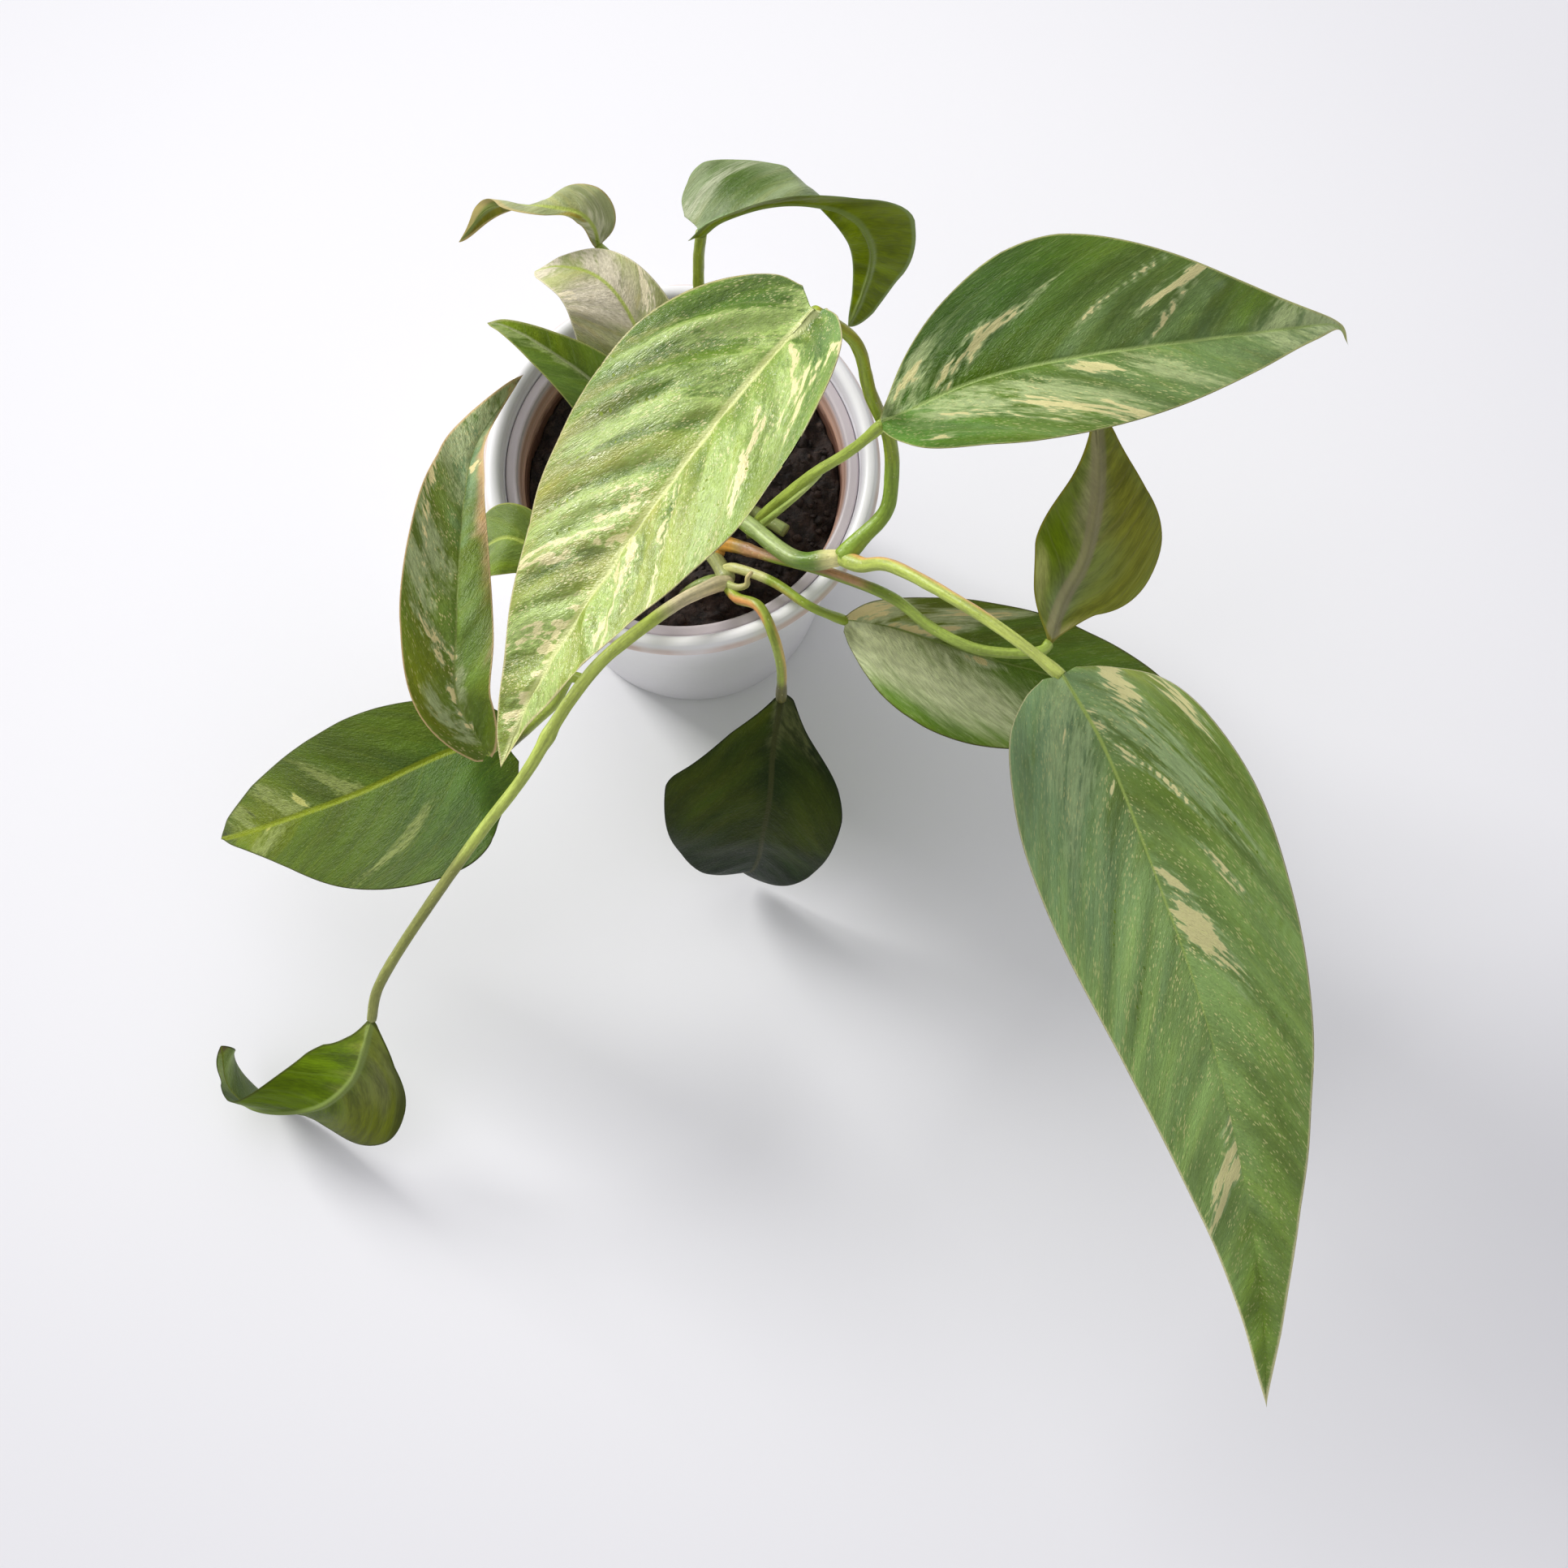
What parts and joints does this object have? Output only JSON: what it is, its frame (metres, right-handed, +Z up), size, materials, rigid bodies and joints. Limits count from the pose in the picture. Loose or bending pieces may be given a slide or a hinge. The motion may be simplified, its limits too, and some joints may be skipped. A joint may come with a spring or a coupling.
{
  "type": "potted pothos plant",
  "caption": "Small trailing pothos with variegated green and cream leaves in a round white cachepot, with an inner grow pot and dark soil.",
  "frame": {"origin": "centre of the cachepot's flat base, on the surface that it stands on", "axes": "+Z up, -Y towards the side that the longest leaf reaches, +X to the right seen from there"},
  "size_m": [0.2821, 0.288, 0.2015],
  "materials": {
    "pot_white": "satin",
    "pot_inner": "satin",
    "soil": "matte",
    "stem": "satin",
    "leaf": "satin"
  },
  "bodies": {
    "root": {"cachepot": "pot_white", "nursery_pot": "pot_inner", "soil": "soil", "vine_thick": "stem", "vine_thin": "stem", "vine_rear": "stem", "vine_trailing": "stem", "stalk_crown": "stem", "stalk_right": "stem", "stalk_front_right": "stem", "stalk_back": "stem", "stalk_back_left": "stem", "stalk_rear_left": "stem", "stalk_left_small": "stem", "stalk_left": "stem", "stalk_front_left": "stem", "stalk_front": "stem", "stalk_right_low": "stem", "stalk_twisted": "stem", "stalk_left_low": "stem", "stub_rear": "stem", "stub_front": "stem", "leaf_crown": "leaf", "leaf_right": "leaf", "leaf_front_right": "leaf", "leaf_back": "leaf", "leaf_back_left": "leaf", "leaf_rear_left": "leaf", "leaf_left_small": "leaf", "leaf_left": "leaf", "leaf_front_left": "leaf", "leaf_trailing": "leaf", "leaf_front": "leaf", "leaf_right_low": "leaf", "leaf_twisted": "leaf", "leaf_left_low": "leaf"}
  },
  "joints": []
}
